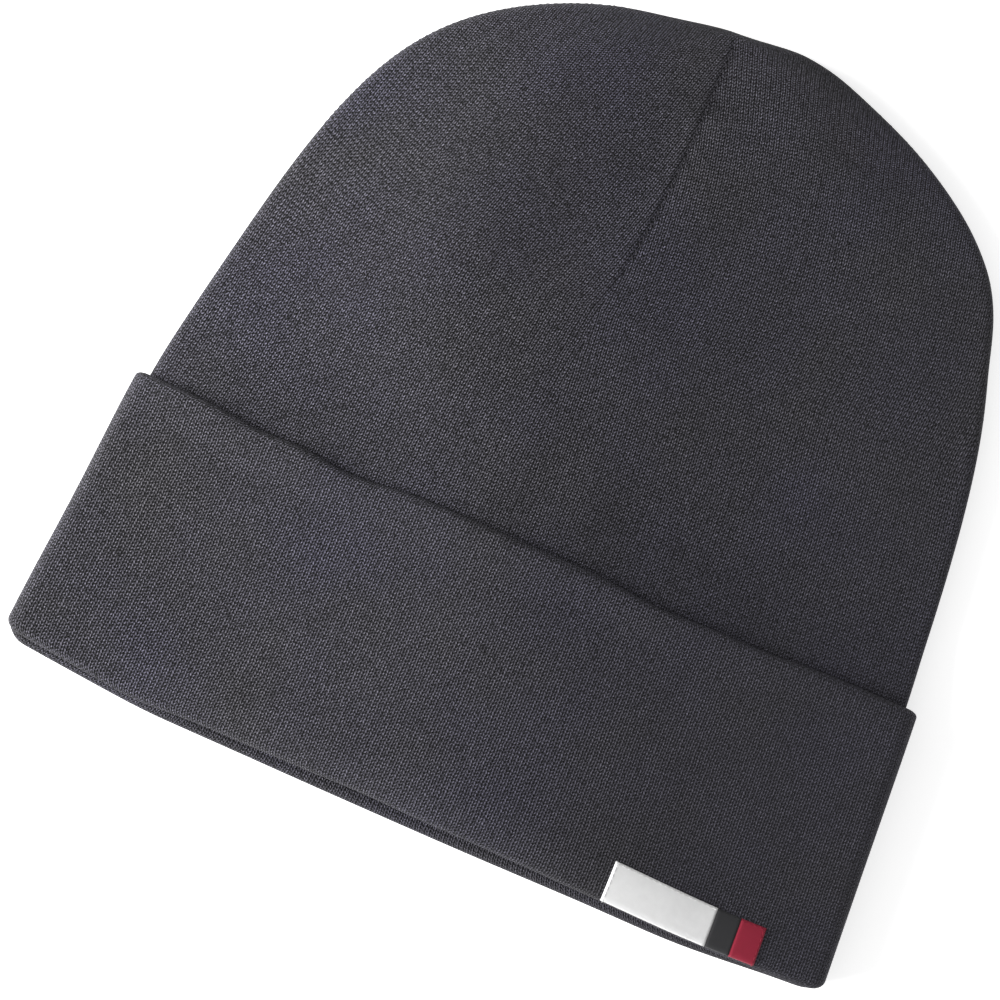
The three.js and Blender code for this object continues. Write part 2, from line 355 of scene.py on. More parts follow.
def rim_level(x, in_front):
    """Level of the rim, away from its corners."""
    def ramped(level, ramps, waves):
        start = np.where(x < 0, *ramps)
        past_start = np.log1p(np.exp((np.abs(x) - start) / ramp_softness)) * ramp_softness
        return level + slant * x + ramp_slope * past_start + waves_at(x, waves)
    front = ramped(front_rim_level, front_ramps, front_rim_waves)
    back = ramped(back_rim_level, back_ramps, back_rim_waves)
    return np.where(in_front, front, back)


def fold_line_level(turn):
    """Level of the rim's fold line, one radius above the rim itself."""
    across = across_at(turn)
    in_front = frontness(turn) >= 0
    corner_level = np.where(across < 0, left_corner_level, right_corner_level)
    corner_rise = corner_level - rim_level(np.sign(across) * rim_half_width, in_front)
    level = rim_level(across * rim_half_width, in_front) + corner_rise * np.abs(across) ** corner_power
    return level + rim_radius


# The knit runs in wales up the cap and courses round it. Wales keep their number up to the darts' feet
# and lean towards the darts above them.
wale_pitch = 1.26
course_pitch = 0.95
lean_levels = (80, 115)
lean_start = math.radians(3.5)
lean_growth = math.radians(17)
lean_reach = (102, 221.4)
lean_power = 1.5
panel_levels = (120, 160)
panel_level = 135

fine_levels = np.linspace(0, top_level, 2000)
width_levels = fine_levels[::20]
lean_share = np.clip((fine_levels - lean_reach[0]) / (lean_reach[1] - lean_reach[0]), 0, 1)
fine_lean = np.tan(lean_start * smooth(*lean_levels, fine_levels) + lean_growth * lean_share**lean_power)
fine_shift = np.concatenate([[0], np.cumsum(fine_lean[1:] * np.diff(fine_levels))])


def lean_at(level):
    return np.interp(level, fine_levels, fine_lean)


def shift_at(level):
    """How much of the panel's edge the front and back darts have taken up, below a level."""
    return np.interp(level, fine_levels, fine_shift)


def girths(points):
    """Distance along each ring of points from the dart in its half, and the whole quarter's."""
    steps = np.linalg.norm(np.diff(points, axis=1, append=points[:, :1]), axis=-1)
    along = np.concatenate([np.zeros((len(points), 1)), np.cumsum(steps, axis=1)], axis=1)
    whole = along[:, -1:]
    n = columns_per_quarter
    right_front, left_front, left_back = (along[:, n * side:n * side + 1] for side in (1, 2, 3))
    distance = np.empty(points.shape[:2])
    quarter_girth = np.empty(points.shape[:2])
    distance[:, :2 * n] = np.abs(along[:, :2 * n] - right_front)
    distance[:, 2 * n:] = np.abs(along[:, 2 * n:-1] - left_back)
    quarter_girth[:, :n] = right_front
    quarter_girth[:, n:2 * n] = left_front - right_front
    quarter_girth[:, 2 * n:3 * n] = left_back - left_front
    quarter_girth[:, 3 * n:] = whole - left_back
    return distance, np.maximum(quarter_girth, 1e-6)


def panel_widths():
    """The quarter girth of the right and left side, front and back averaged, at width_levels."""
    quarter_girth = girths(tube_point(turns[None, :], width_levels[:, None]))[1]
    n = columns_per_quarter
    right = (quarter_girth[:, 0] + quarter_girth[:, 3 * n]) / 2
    left = (quarter_girth[:, n] + quarter_girth[:, 2 * n]) / 2
    return right, left


right_width, left_width = panel_widths()


def wale_place(share, level, right_side):
    """Millimetres of cloth across the wales, from a share of the way from dart to side fold."""
    def at_side(width):
        cut = np.interp(level, width_levels, width) + shift_at(level)
        whole = np.interp(panel_level, width_levels, width) + shift_at(panel_level)
        return mix(whole, cut, smooth(*panel_levels, level))
    side = np.where(right_side, at_side(right_width), at_side(left_width))
    return mix(shift_at(level), side, share)


def course_place(height, distance, share, level):
    """Millimetres of cloth along the wales; courses stay square to the wales that lean."""
    return height - distance * lean_at(level) * mix(1 - share / 2, 1, smooth(*panel_levels, level))


def placed(name, data):
    """A new object in the scene."""
    piece = bpy.data.objects.new(name, data)
    bpy.context.scene.collection.objects.link(piece)
    return piece


def closed_mesh(name, rings, cloth, right_way, ends=None):
    """Rings of points joined into one closed skin, with the cloth's own coordinates as its UV map.
    Rings close on themselves; the last ring joins the first unless a pair of end points closes them.
    cloth has one row more than rings where the last ring joins the first. It counts wales from the darts,
    on both sides; right_way is 1 where they are to run to the right and -1 where they run to the left."""
    count, around = rings.shape[:2]
    bands = count - 1 if ends is not None else count
    row, column = np.meshgrid(np.arange(bands), np.arange(around), indexing="ij")
    after = (column + 1) % around
    above = (row + 1) % count
    quads = np.stack([row * around + column, row * around + after, above * around + after,
                      above * around + column], -1).reshape(-1, 4)
    wide = np.concatenate([cloth, cloth[:, :1]], axis=1)
    quad_cloth = np.stack([wide[row, column], wide[row, column + 1], wide[row + 1, column + 1],
                           wide[row + 1, column]], -2)
    on_right = (np.arange(around) < columns_per_quarter) | (np.arange(around) >= 3 * columns_per_quarter)
    sideways = np.where(on_right, right_way, -right_way)
    quad_cloth[..., 0] *= sideways[None, :, None]
    points = rings.reshape(-1, 3)
    faces = quads.tolist()
    loops = quad_cloth.reshape(-1, 2)
    if ends is not None:
        column = np.arange(around)
        after = (column + 1) % around
        for tip, ring in ((0, 0), (1, count - 1)):
            pole = np.full(around, len(points) + tip)
            first, second = (after, column) if tip == 0 else (column, after)
            faces += np.stack([ring * around + first, ring * around + second, pole], -1).tolist()
            tips = (wide[ring, column] + wide[ring, column + 1]) / 2
            first, second = (column + 1, column) if tip == 0 else (column, column + 1)
            tip_cloth = np.stack([wide[ring, first], wide[ring, second], tips], 1)
            tip_cloth[..., 0] *= sideways[:, None]
            loops = np.concatenate([loops, tip_cloth.reshape(-1, 2)])
        points = np.concatenate([points, ends])
    mesh = bpy.data.meshes.new(name)
    mesh.from_pydata((points * mm).tolist(), [], faces)
    corners = points[quads]
    volume = np.einsum("ij,ij->", corners[:, 0], np.cross(corners[:, 1], corners[:, 2]))
    volume += np.einsum("ij,ij->", corners[:, 0], np.cross(corners[:, 2], corners[:, 3]))
    uv = mesh.uv_layers.new(name="cloth")
    uv.data.foreach_set("uv", loops.astype(np.float32).ravel())
    if volume < 0:
        mesh.flip_normals()
    mesh.shade_smooth()
    mesh.validate()
    return placed(name, mesh)


def from_dart(turn, level):
    """Distance to the nearest dart, near enough beside it."""
    return np.abs(frontness(turn - np.round(turn))) * half_width(level)


def dart_work(turn, level):
    """Rise and fall of the cloth along each dart, with the small puckers beside it."""
    nearest = np.round(turn)
    distance = from_dart(turn, level)
    sewn = smooth(sewn_from, dart_full_level, level)
    sewn = sewn * (1 - smooth(top_level - sewn_end, top_level, level))
    sewn = sewn * mix(1, shallow_share, smooth(*shallow_levels, level))
    drop = (crease_depth + swell_height) * np.exp(-((distance / drop_width) ** 2))
    drop = drop - swell_height * np.exp(-distance / swell_reach)
    low = crease_depth * np.exp(-distance / low_panel_width)
    phase = 2 * math.pi * level / pucker_pitch + pucker_shift * nearest
    phase = phase + pucker_drift * np.sin(level / pucker_drift_length)
    pucker = pucker_height * np.sin(phase) * np.exp(-distance / pucker_reach)
    pucker = pucker * smooth(0, pucker_start, distance)
    on_left = turn > nearest
    at_fold = nearest % 2 == 0
    crease = np.where(on_left, drop, low) * np.where(at_fold, side_crease_share, 1)
    return sewn * (np.where(on_left | at_fold, 0, pucker) - crease)


tip_length = 0.12  # the last row's distance from the tip


def crown_levels(under_cuff, at_hem, over_sag, above):
    """Levels of the crown's rows for each column, from its lower edge to the top."""
    start = fold_line_level(turns) + inner_leg_length
    hem = hem_level(turns)
    past_hem = hem + 2 * hem_roll
    rows = [mix(start, hem, row / under_cuff) for row in range(under_cuff)]
    rows += [mix(hem, past_hem, row / at_hem) for row in range(at_hem)]
    rows += [mix(past_hem, sag_levels[1], row / over_sag) for row in range(over_sag)]
    last = top_level - tip_length
    to_last = [(1 - row / above) ** 2 for row in range(above + 1)]
    rows += [np.full_like(start, mix(last, sag_levels[1], share)) for share in to_last]
    return np.array(rows)


def crown_skin(levels, inside):
    """One skin of the crown and its cloth coordinates."""
    base = tube_point(turns[None, :], levels)
    distance, quarter_girth = girths(base)
    share = distance / quarter_girth
    climb = np.linalg.norm(np.diff(base, axis=0), axis=-1)
    height = inner_leg_length + np.concatenate([np.zeros((1, len(turns))), np.cumsum(climb, axis=0)])
    right_side = across_at(turns)[None, :] > 0
    across = wale_place(share, levels, right_side)
    along = course_place(height, distance, share, levels)
    if inside:
        sewn = smooth(*seam_ridge_from, levels) * (1 - smooth(*seam_ridge_end, levels))
        out = -wall - seam_ridge * sewn * np.exp(-((from_dart(turns, levels) / seam_ridge_width) ** 2))
    else:
        out = dart_work(turns[None, :], levels)
        back = frontness(turns)[None, :] < 0
        out = np.where(back, np.minimum(out, 0), out)
    return cloth_point(turns[None, :], levels, out), np.stack([across, along], -1)


outer_skin, outer_cloth = crown_skin(
    crown_levels(under_cuff=6, at_hem=10, over_sag=12, above=118), inside=False)
inner_skin, inner_cloth = crown_skin(
    crown_levels(under_cuff=4, at_hem=1, over_sag=5, above=42), inside=True)
outer_tip = tube_point(1.0, top_level)
inner_tip = outer_tip - np.array([0, wall, 0])
crown = closed_mesh(
    "crown_cloth",
    np.concatenate([outer_skin[::-1], inner_skin]),
    np.concatenate([outer_cloth[::-1], inner_cloth]),
    right_way=1,
    ends=np.array([outer_tip, inner_tip]),
)

# The yarn: charcoal with a slight blue cast. Each wale is a stack of V stitches, so it shows two ribs,
# the left and the right legs, with a crease between them and a row of small holes beside the next wale.
plain_yarn = (0.0480, 0.0461, 0.0522)
bluer_yarn = (0.0470, 0.0449, 0.0622)
# Painted shade: the creases between a wale's legs and the holes beside it are darkened in the colour.
crease_shade = 0.50
hole_shade = 0.02
bridge_shade = 0.28  # between two holes the legs of neighbouring wales touch
stitch_height = 0.33 * mm
leg_slant = 0.6  # how many courses a stitch's leg rises over half a wale
leg_rise = 0.32  # how far a leg's strand bulges
leg_height = 0.7  # and how far the leg as a whole does
leg_twist = 0.11  # the yarn's twist makes the legs of one side bulge more, the others less
# Painted highlight: a strand's colour is made lighter where it bulges.
bulge_highlight = 1.6  # a strand is lighter where it bulges
wale_stray = (330.0, 0.5)  # each unevenness: how fine its noise is, to the metre, and how strong
course_stray = (290.0, 0.7)
stitch_stray = (1000.0, 0.25)
strand_mottle = (2800.0, 4.6)
cloth_mottle = (60.0, 0.15)
dye_patches = (30.0, 2.0)
darkest_tone = 0.03
middle_tone = 0.62
# Painted light: stitch shade and highlights are stronger at the cap's left, which faces the key light.
contrast_from = -90 * mm
contrast_to = 80 * mm
lit_side_contrast = 1.78  # painted light: stronger stitch shade on the left, which faces the key
shaded_side_contrast = 0.84
crown_from = -40 * mm
crown_to = -20 * mm
crown_contrast = 1.22


def bare_material(name):
    """A material with an empty node tree, and that tree."""
    material = bpy.data.materials.new(name)
    material.use_nodes = True
    material.node_tree.nodes.clear()
    return material, material.node_tree


def feed(tree, socket, value):
    """Wires a value into a socket: another node's output, or a constant."""
    if isinstance(value, bpy.types.NodeSocket):
        tree.links.new(value, socket)
    else:
        socket.default_value = value


def put(tree, kind, inputs=None, **settings):
    """A new node with its settings and inputs, which are named or numbered."""
    node = tree.nodes.new(kind)
    for name, value in settings.items():
        setattr(node, name, value)
    for name, value in (inputs or {}).items():
        feed(tree, node.inputs[name], value)
    return node


def calc(tree, operation, *values):
    return put(tree, "ShaderNodeMath", dict(enumerate(values)), operation=operation).outputs[0]


def noise(tree, place, scale):
    """Noise around 0, of features 1 / scale metres wide."""
    node = put(tree, "ShaderNodeTexNoise", {"Vector": place, "Scale": scale})
    return calc(tree, "SUBTRACT", node.outputs["Fac"], 0.5)


def varied(tree, place, scale, amount, around=1.0):
    """A value that noise makes a little larger or smaller."""
    return calc(tree, "MULTIPLY_ADD", noise(tree, place, scale), amount, around)


def parts_of(tree, vector):
    """A vector's numbers, by axis."""
    return put(tree, "ShaderNodeSeparateXYZ", {"Vector": vector}).outputs


def ranged(tree, value, between, results):
    """A value that goes from one result to the other between two bounds, and stays there past them."""
    bounds = {"From Min": between[0], "From Max": between[1], "To Min": results[0], "To Max": results[1]}
    return put(tree, "ShaderNodeMapRange", {"Value": value, **bounds}).outputs["Result"]


def shaded(tree, colour, share):
    """A colour multiplied by a grey share."""
    return put(tree, "ShaderNodeVectorMath", {0: colour, "Scale": share}, operation="SCALE").outputs[0]


def fabric_shader(tree, colour, height, depth, roughness, sheen):
    """A matt cloth's shader over a height that gives its relief."""
    bump = put(tree, "ShaderNodeBump", {"Strength": 1.0, "Distance": depth, "Height": height})
    shader = put(tree, "ShaderNodeBsdfPrincipled", {
        "Base Color": colour,
        "Roughness": roughness,
        "Specular IOR Level": 0.25,
        "Sheen Weight": sheen,
        "Sheen Roughness": 0.5,
        "Normal": bump.outputs["Normal"],
    })
    put(tree, "ShaderNodeOutputMaterial", {"Surface": shader.outputs["BSDF"]})


def knit_material():
    material, tree = bare_material("charcoal_knit")
    place = put(tree, "ShaderNodeTexCoord").outputs["Object"]
    cloth = parts_of(tree, put(tree, "ShaderNodeUVMap", uv_map="cloth").outputs["UV"])
    # Where on the cloth: no stitch lies quite straight, and some are larger than their neighbours.
    across = varied(tree, place, *wale_stray, cloth["X"])
    along = varied(tree, place, *course_stray, cloth["Y"])
    along = varied(tree, place, *stitch_stray, along)
    wale = calc(tree, "DIVIDE", across, wale_pitch)
    course = calc(tree, "DIVIDE", along, course_pitch)

    # The stitches' relief: two legs to a wale, each a stack of slanting strands.
    legs = calc(tree, "COSINE", calc(tree, "MULTIPLY", wale, 4 * math.pi))
    legs = calc(tree, "MULTIPLY_ADD", legs, -0.5, 0.5)
    beside = calc(tree, "ABSOLUTE", calc(tree, "MULTIPLY_ADD", calc(tree, "FRACT", wale), 2.0, -1.0))
    leg_course = calc(tree, "MULTIPLY_ADD", beside, -leg_slant, course)
    strand = calc(tree, "COSINE", calc(tree, "MULTIPLY", leg_course, 2 * math.pi))
    right_leg = calc(tree, "SINE", calc(tree, "MULTIPLY", wale, -2 * math.pi))
    rise = calc(tree, "MULTIPLY", strand, calc(tree, "MULTIPLY_ADD", right_leg, leg_twist, leg_rise))
    height = calc(tree, "MULTIPLY_ADD", legs, leg_height, rise)

    # Their colour: painted shade in creases and holes, a painted highlight on bulges, mottled strand to
    # strand.
    gap = (bridge_shade + hole_shade) / 2
    gap = calc(tree, "MULTIPLY_ADD", strand, (bridge_shade - hole_shade) / 2, gap)
    shade = calc(tree, "MULTIPLY_ADD", beside, calc(tree, "SUBTRACT", gap, crease_shade), crease_shade)
    tone = calc(tree, "MULTIPLY_ADD", legs, calc(tree, "SUBTRACT", 1.0, shade), shade)
    # Painted highlight on the bulging strands.
    tone = calc(tree, "MULTIPLY", tone, calc(tree, "MULTIPLY_ADD", rise, bulge_highlight, 1.0))
    tone = calc(tree, "MULTIPLY", tone, varied(tree, place, *strand_mottle))
    tone = calc(tree, "MULTIPLY", tone, varied(tree, place, *cloth_mottle))
    spot = parts_of(tree, place)
    # Painted light: stronger stitch contrast on the side the key light falls on.
    contrast = ranged(tree, spot["X"], (contrast_from, contrast_to), (lit_side_contrast, shaded_side_contrast))
    on_crown = ranged(tree, spot["Y"], (crown_from, crown_to), (1.0, crown_contrast))
    contrast = calc(tree, "MULTIPLY", contrast, on_crown)
    off_middle = calc(tree, "MULTIPLY", calc(tree, "SUBTRACT", tone, middle_tone), contrast)
    tone = calc(tree, "MAXIMUM", calc(tree, "ADD", off_middle, middle_tone), darkest_tone)

    # The dye: some patches came out bluer than others.
    dye = put(tree, "ShaderNodeMix", {
        "Factor": varied(tree, place, *dye_patches, 0.5),
        "A": (*plain_yarn, 1),
        "B": (*bluer_yarn, 1),
    }, data_type="RGBA")
    colour = shaded(tree, dye.outputs["Result"], tone)
    fabric_shader(tree, colour, height, stitch_height, roughness=0.92, sheen=0.03)
    return material


knit = knit_material()
crown.data.materials.append(knit)
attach(crown, "root")
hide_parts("crown")

# The darts' seams are linked with the same yarn. Its stitches lie slanting at the bottom of each groove.
linked_from = dart_full_level - 10
link_pitch = 1.9
link_length = 1.7
link_radius = 0.18
link_lean = math.radians(38)
link_step = 0.8
link_height = 0.4  # the stitches' middle lies this share of their radius over the groove
thread_fibres = 6000.0
fibre_height = 0.05 * mm
fibre_shade = 0.8
thread_mottle = (900.0, 0.8)


def stitch_nodes():
    """Geometry nodes that lay stitches along a path of edges, with their upper side towards the path's
    attribute outwards."""
    tree = bpy.data.node_groups.new("stitch_rows", "GeometryNodeTree")
    named_inputs = {
        "Path": "Geometry", "Pitch": "Float", "Stitch Length": "Float", "Thread Radius": "Float",
        "Lean": "Float", "Unevenness": "Float", "Seed": "Int", "Thread": "Material",
    }
    for name, kind in named_inputs.items():
        tree.interface.new_socket(name, in_out="INPUT", socket_type="NodeSocket" + kind)
    tree.interface.new_socket("Stitches", in_out="OUTPUT", socket_type="NodeSocketGeometry")
    given = put(tree, "NodeGroupInput").outputs

    # One point for each stitch, at even steps along the path.
    curve = put(tree, "GeometryNodeMeshToCurve", {"Mesh": given["Path"]})
    points = put(tree, "GeometryNodeResampleCurve", {
        "Curve": curve.outputs["Curve"],
        "Length": given["Pitch"],
    }, mode="LENGTH")

    # A stitch turns with the path, leans across it and is never quite like the next one.
    tangent = put(tree, "GeometryNodeInputTangent").outputs["Tangent"]
    along = put(tree, "FunctionNodeAlignRotationToVector", {"Vector": tangent}, axis="X")
    outwards = put(tree, "GeometryNodeInputNamedAttribute", {
        "Name": "outwards",
    }, data_type="FLOAT_VECTOR")
    upright = put(tree, "FunctionNodeAlignRotationToVector", {
        "Rotation": along.outputs["Rotation"],
        "Vector": outwards.outputs["Attribute"],
    }, axis="Z", pivot_axis="X")
    uneven = put(tree, "FunctionNodeRandomValue", {"Seed": given["Seed"]}, data_type="FLOAT_VECTOR")
    for name, sign in (("Min", -1), ("Max", 1)):
        angle = calc(tree, "MULTIPLY", given["Unevenness"], sign)
        bound = put(tree, "ShaderNodeCombineXYZ", {"X": angle, "Y": angle, "Z": angle})
        feed(tree, uneven.inputs[name], bound.outputs["Vector"])
    lean = put(tree, "ShaderNodeCombineXYZ", {"Z": given["Lean"]})
    angles = put(tree, "ShaderNodeVectorMath", {
        0: lean.outputs["Vector"],
        1: uneven.outputs["Value"],
    }, operation="ADD")
    turn_by = put(tree, "FunctionNodeEulerToRotation", {"Euler": angles.outputs["Vector"]})
    laid = put(tree, "FunctionNodeRotateRotation", {
        "Rotation": upright.outputs["Rotation"],
        "Rotate By": turn_by.outputs["Rotation"],
    }, rotation_space="LOCAL")

    # The stitch itself: a short length of thread, thickest in the middle.
    thread = put(tree, "GeometryNodeMeshUVSphere", {"Segments": 8, "Rings": 6})
    round_thread = put(tree, "GeometryNodeSetShadeSmooth", {"Geometry": thread.outputs["Mesh"]})
    half_length = calc(tree, "MULTIPLY", given["Stitch Length"], 0.5)
    radius = given["Thread Radius"]
    size = put(tree, "ShaderNodeCombineXYZ", {"X": half_length, "Y": radius, "Z": radius})

    rows = put(tree, "GeometryNodeInstanceOnPoints", {
        "Points": points.outputs["Curve"],
        "Instance": round_thread.outputs["Geometry"],
        "Rotation": laid.outputs["Rotation"],
        "Scale": size.outputs["Vector"],
    })
    real = put(tree, "GeometryNodeRealizeInstances", {"Geometry": rows.outputs["Instances"]})
    coloured = put(tree, "GeometryNodeSetMaterial", {
        "Geometry": real.outputs["Geometry"],
        "Material": given["Thread"],
    })
    put(tree, "NodeGroupOutput", {"Stitches": coloured.outputs["Geometry"]})
    return tree


def sewn_rows(name, paths, pitch, length, radius, lean, unevenness, seed, thread):
    """Rows of stitches as one plain mesh. Each path is its points and the outward direction at each."""
    points = np.concatenate([path for path, _ in paths])
    outwards = np.concatenate([directions for _, directions in paths])
    edges = []
    start = 0
    for path, _ in paths:
        edges += [(start + i, start + i + 1) for i in range(len(path) - 1)]
        start += len(path)
    mesh = bpy.data.meshes.new(name)
    mesh.from_pydata((points * mm).tolist(), edges, [])
    direction = mesh.attributes.new("outwards", "FLOAT_VECTOR", "POINT")
    direction.data.foreach_set("vector", outwards.astype(np.float32).ravel())
    piece = placed(name, mesh)
    modifier = piece.modifiers.new("stitches", "NODES")
    modifier.node_group = stitch_tree
    sizes = {
        "Pitch": pitch * mm, "Stitch Length": length * mm, "Thread Radius": radius * mm,
        "Lean": lean, "Unevenness": unevenness, "Seed": seed, "Thread": thread,
    }
    for item in stitch_tree.interface.items_tree:
        if item.name in sizes:
            modifier[item.identifier] = sizes[item.name]
    finished = piece.evaluated_get(bpy.context.evaluated_depsgraph_get())
    stitches = bpy.data.meshes.new_from_object(finished)
    piece.modifiers.clear()
    piece.data = stitches
    return piece


def thread_material(name, colour, roughness):
    """Spun thread, with fine fibres."""
    material, tree = bare_material(name)
    place = put(tree, "ShaderNodeTexCoord").outputs["Object"]
    fibres = noise(tree, place, thread_fibres)
    # Painted highlight: the noise that raises a fibre also makes it lighter.
    tone = calc(tree, "MULTIPLY_ADD", fibres, fibre_shade, 1.0)
    tone = calc(tree, "MULTIPLY", tone, varied(tree, place, *thread_mottle))
    fabric_shader(tree, shaded(tree, colour, tone), fibres, fibre_height, roughness=roughness, sheen=0.05)
    return material


def groove_path(turn):
    """The bottom of a dart's groove, and the outward direction along it."""
    levels = np.arange(linked_from, top_level - sewn_end, link_step)
    height = dart_work(turn, levels) + link_radius * link_height
    bottom = cloth_point(turn, levels, height)
    above = cloth_point(turn, levels, height + 1)
    return bottom, above - bottom


stitch_tree = stitch_nodes()
linking_yarn = thread_material("linking_yarn", (0.036, 0.034, 0.040), roughness=0.92)
dart_links = sewn_rows(
    "dart_links",
    [groove_path(turn) for turn in (0.0, 1.0, 2.0, 3.0)],
    pitch=link_pitch,
    length=link_length,
    radius=link_radius,
    lean=link_lean,
    unevenness=0.15,
    seed=3,
    thread=linking_yarn,
)
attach(dart_links, "root")

# Cuff. The lower end of the same tube, turned up over the crown by about three inches. It rounds the rim
# in a soft fold, and its hem is pressed down until its edge nearly touches the crown.

hem_stand_off = 0.6
stand_off_fade = 0.3  # underneath it fades out, and is gone where frontness is this far below 0
hem_edge_height = 0.1  # of the hem's edge over the crown
lift_waves = [
    {"x": -62, "rise": 0.5, "width": 12},
    {"x": -25, "rise": -0.4, "width": 14},
    {"x": 8, "rise": 0.4, "width": 12},
    {"x": 45, "rise": -0.3, "width": 10},
    {"x": 78, "rise": 0.5, "width": 12},
]
leg_rows = 60
fold_rows = 14
hem_rows = 16
inside_rows = 16


def stand_off(turn, share):
    """How far the cuff's outer leg stands off the tube, a share of the way from rim to hem."""
    x = across_at(turn) * rim_half_width
    height = hem_stand_off * (1 + np.where(frontness(turn) >= 0, waves_at(x, lift_waves), 0))
    return height * smooth(0, 1, share) * (1 - smooth(0, stand_off_fade, -frontness(turn)))


def leg_ring(share, out):
    level = mix(fold_line_level(turns), hem_level(turns), share)
    return cloth_point(turns, level, out + stand_off(turns, share))


def fold_ring(angle):
    out = clearance / 2 + rim_radius * math.cos(angle)
    return cloth_point(turns, fold_line_level(turns), out, rim_radius * math.sin(angle))


def hem_ring(angle):
    face = clearance + stand_off(turns, 1) + (wall if angle < math.pi / 2 else 0)
    out = mix(hem_edge_height, face, abs(math.cos(angle)))
    return cloth_point(turns, hem_level(turns) + hem_roll * math.sin(angle), out)


def cuff_rings():
    """The cuff's rings in one closed round: the inner leg's inside, the rim's fold, the outer leg, the
    hem, and back down between the layers."""
    fold_line = fold_line_level(turns)
    rings = [cloth_point(turns, fold_line + inner_leg_length * share, -wall) for share in (1, 0.5)]
    rings += [fold_ring(-math.pi * (1 - row / fold_rows)) for row in range(fold_rows)]
    rings += [leg_ring(row / leg_rows, clearance + wall) for row in range(leg_rows)]
    rings += [hem_ring(math.pi * row / hem_rows) for row in range(hem_rows)]
    rings += [leg_ring(1 - row / inside_rows, clearance) for row in range(inside_rows + 1)]
    rings += [cloth_point(turns, fold_line + inner_leg_length * share, 0.0) for share in (0, 0.5, 1)]
    return np.array(rings)


rings = cuff_rings()
distance, quarter_girth = girths(rings)
right_side = across_at(turns)[None, :] > 0
across = wale_place(distance / quarter_girth, 0.0, right_side)
closed_round = np.concatenate([rings, rings[:1]])
drop = np.linalg.norm(np.diff(closed_round, axis=0), axis=-1)
along = inner_leg_length - np.concatenate([np.zeros((1, len(turns))), np.cumsum(drop, axis=0)])
across = np.concatenate([across, across[:1]])
cuff = closed_mesh("cuff_cloth", rings, np.stack([across, along], -1), right_way=-1)
cuff.data.materials.append(knit)
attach(cuff, "root")
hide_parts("cuff")

# Label. A small woven strip on the cuff's front, low on the right, in a white, a grey and a red field. It
# is bare satin-woven tape, and its lower edge goes a little way round the rim.

label_thickness = 0.4
label_edge_thickness = 0.45  # as a share of the thickness
label_gap = 0.05
label_below = 1.75
label_above = 8.05
label_taper = 0.00105  # its ends lean in as the wales do
label_edge = 0.3
label_step = 0.45
fields = {
    "label_white": {"from": 52.5, "to": 81.2, "colour": (0.70, 0.70, 0.70), "roughness": 0.62},
    "label_grey": {"from": 81.24, "to": 87.8, "colour": (0.026, 0.026, 0.028), "roughness": 0.8},
    "label_red": {"from": 87.84, "to": 94.7, "colour": (0.245, 0.0100, 0.0300), "roughness": 0.7},
}
warp_pitch = 0.21
weft_pitch = 0.17
weave_height = 0.03 * mm
weave_shade = (0.10, 0.95)  # how much lighter the threads' crests are, and the shade between them
tape_mottle = (500.0, 0.12)
sewing_inset = 0.55
sewing_pitch = 1.7
sewing_length = 1.45
sewing_radius = 0.11
sewing_height = 0.02  # of the stitches' middle over the tape
sewing_step = 0.3


def label_point(x, above, out):
    """A point on the cuff's front or, below its fold line, round the rim."""
    x = x * (1 - label_taper * (above + label_below))

    def turn_at(level):
        share = (x - dart_x(level)) / (centre_x(level) + half_width(level) - dart_x(level))
        return np.arccos(share) * 2 / math.pi
    turn_at_fold = turn_at(fold_line_level(1.0))
    fold_line = fold_line_level(turn_at_fold)
    leg_level = fold_line + np.maximum(above, 0)
    turn = turn_at(leg_level)
    share = np.maximum(above, 0) / (hem_level(turn) - fold_line)
    on_leg = cloth_point(turn, leg_level, clearance + wall + stand_off(turn, share) + out)
    angle = np.minimum(above, 0) / rim_radius
    radius = rim_radius + out
    past = clearance / 2 + radius * np.cos(angle)
    on_fold = cloth_point(turn_at_fold, fold_line, past, radius * np.sin(angle))
    return np.where((above >= 0)[..., None], on_leg, on_fold)


def field_mesh(name, start, end):
    """A thin closed tape with rounded edges."""
    steps = round((end - start) / label_step)
    rows = round((label_above + label_below) / label_step)
    across = np.linspace(start, end, steps + 1)
    x, above = np.meshgrid(across, np.linspace(-label_below, label_above, rows + 1))
    to_edge = np.minimum.reduce([x - start, end - x, above + label_below, label_above - above])
    thick = label_thickness * mix(label_edge_thickness, 1, quarter_round(to_edge / label_edge))
    top = label_point(x, above, label_gap + thick)
    under = label_point(x, above, np.full_like(x, label_gap))
    points = np.concatenate([under.reshape(-1, 3), top.reshape(-1, 3)])
    index = np.arange(points.shape[0]).reshape(2, rows + 1, steps + 1)

    def quads(a, b, c, d):
        return np.stack([a, b, c, d], -1).reshape(-1, 4)

    low, high = index
    faces = np.concatenate([
        quads(high[:-1, :-1], high[:-1, 1:], high[1:, 1:], high[1:, :-1]),
        quads(low[:-1, :-1], low[1:, :-1], low[1:, 1:], low[:-1, 1:]),
        quads(low[0, :-1], low[0, 1:], high[0, 1:], high[0, :-1]),
        quads(low[-1, 1:], low[-1, :-1], high[-1, :-1], high[-1, 1:]),
        quads(low[1:, 0], low[:-1, 0], high[:-1, 0], high[1:, 0]),
        quads(low[:-1, -1], low[1:, -1], high[1:, -1], high[:-1, -1]),
    ])
    mesh = bpy.data.meshes.new(name)
    mesh.from_pydata((points * mm).tolist(), [], faces.tolist())
    cloth = np.stack([x, above], -1).reshape(-1, 2)
    cloth = np.concatenate([cloth, cloth])[faces.ravel()]
    mesh.uv_layers.new(name="cloth").data.foreach_set("uv", cloth.astype(np.float32).ravel())
    mesh.shade_smooth()
    return placed(name, mesh)


